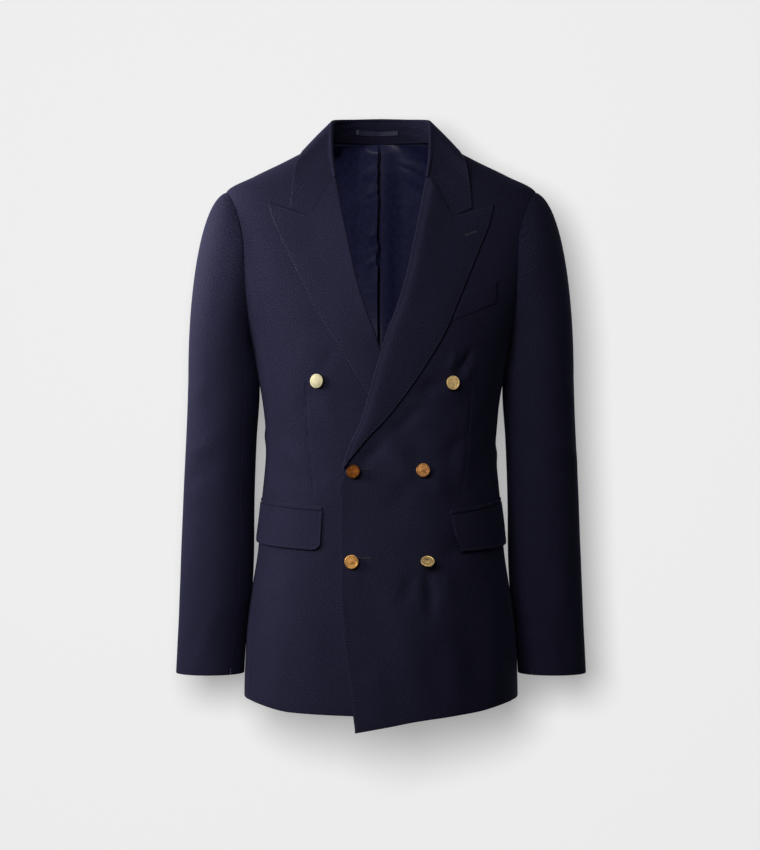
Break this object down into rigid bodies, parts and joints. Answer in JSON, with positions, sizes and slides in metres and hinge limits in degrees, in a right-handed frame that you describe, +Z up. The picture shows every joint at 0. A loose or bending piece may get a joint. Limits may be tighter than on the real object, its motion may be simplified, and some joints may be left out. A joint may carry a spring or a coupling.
{
  "type": "double breasted blazer",
  "caption": "Worn-form double breasted blazer with peak lapels, flap pockets, welt pocket and metal buttons, hollow inside.",
  "frame": {"origin": "between the shoulders, on the centre plane, at the level where the collar's fall meets the shoulders", "axes": "+Z up, the fronts face -Y, the wearer's left is +X"},
  "size_m": [0.5652, 0.2902, 0.837],
  "materials": {
    "wool_cloth": "navy worsted wool, fine twill weave, matt with a faint bloom",
    "lining_satin": "navy satin lining, smooth with a soft sheen",
    "gilt_brass": "polished gilt, lightly brushed face"
  },
  "bodies": {
    "root": {"back_left": "wool_cloth", "back_right": "wool_cloth", "front_left": "wool_cloth", "front_right": "wool_cloth", "side_body_left": "wool_cloth", "side_body_right": "wool_cloth", "lapel_left": "wool_cloth", "lapel_right": "wool_cloth", "top_sleeve_left": "wool_cloth", "top_sleeve_right": "wool_cloth", "under_sleeve_left": "wool_cloth", "under_sleeve_right": "wool_cloth", "pocket_jetting_left": "wool_cloth", "pocket_jetting_right": "wool_cloth", "pocket_flap_left": "wool_cloth", "pocket_flap_right": "wool_cloth", "collar_stand": "wool_cloth", "collar_fall": "wool_cloth", "breast_welt": "wool_cloth", "lining_left": "lining_satin", "lining_right": "lining_satin", "hanger_loop": "lining_satin", "button_top_left": "gilt_brass", "button_top_right": "gilt_brass", "button_middle_left": "gilt_brass", "button_middle_right": "gilt_brass", "button_bottom_left": "gilt_brass", "button_bottom_right": "gilt_brass"}
  },
  "joints": []
}
